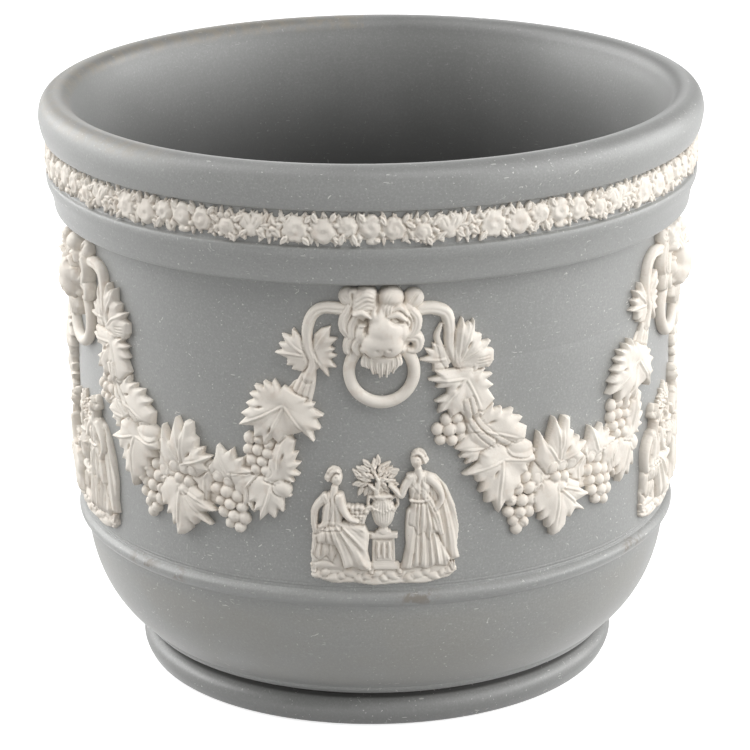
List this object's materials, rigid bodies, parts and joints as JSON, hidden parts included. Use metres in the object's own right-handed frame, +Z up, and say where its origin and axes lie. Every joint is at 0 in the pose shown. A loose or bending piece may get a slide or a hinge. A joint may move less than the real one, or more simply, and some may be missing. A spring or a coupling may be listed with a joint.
{
  "type": "jardiniere",
  "caption": "Round unglazed stoneware plant pot with a heavy rolled rim, a bowl-shaped base on a foot ring, and white lion masks, vine festoons, figures and a flower border in relief.",
  "frame": {"origin": "centre of the foot ring's underside, on the pot's axis", "axes": "+Z up along the pot's axis; the front, with one lion mask, faces -Y"},
  "size_m": [0.204, 0.204, 0.1821],
  "materials": {
    "grey_stoneware": "matt, unglazed, with small specks",
    "white_relief": "matt, unglazed"
  },
  "bodies": {
    "root": {"pot_body": "grey_stoneware", "lion_mask_front": "white_relief", "lion_mask_right": "white_relief", "lion_mask_rear_right": "white_relief", "lion_mask_rear_left": "white_relief", "lion_mask_left": "white_relief", "mask_ring_front": "white_relief", "mask_ring_right": "white_relief", "mask_ring_rear_right": "white_relief", "mask_ring_rear_left": "white_relief", "mask_ring_left": "white_relief", "figure_group_front": "white_relief", "figure_group_right": "white_relief", "figure_group_rear_right": "white_relief", "figure_group_rear_left": "white_relief", "figure_group_left": "white_relief", "vine_festoon_front_right": "white_relief", "vine_festoon_right": "white_relief", "vine_festoon_rear": "white_relief", "vine_festoon_left": "white_relief", "vine_festoon_front_left": "white_relief", "flower_border_1": "white_relief", "flower_border_2": "white_relief", "flower_border_3": "white_relief", "flower_border_4": "white_relief", "flower_border_5": "white_relief", "flower_border_6": "white_relief", "flower_border_7": "white_relief", "flower_border_8": "white_relief", "flower_border_9": "white_relief", "flower_border_10": "white_relief", "flower_border_11": "white_relief"}
  },
  "joints": []
}
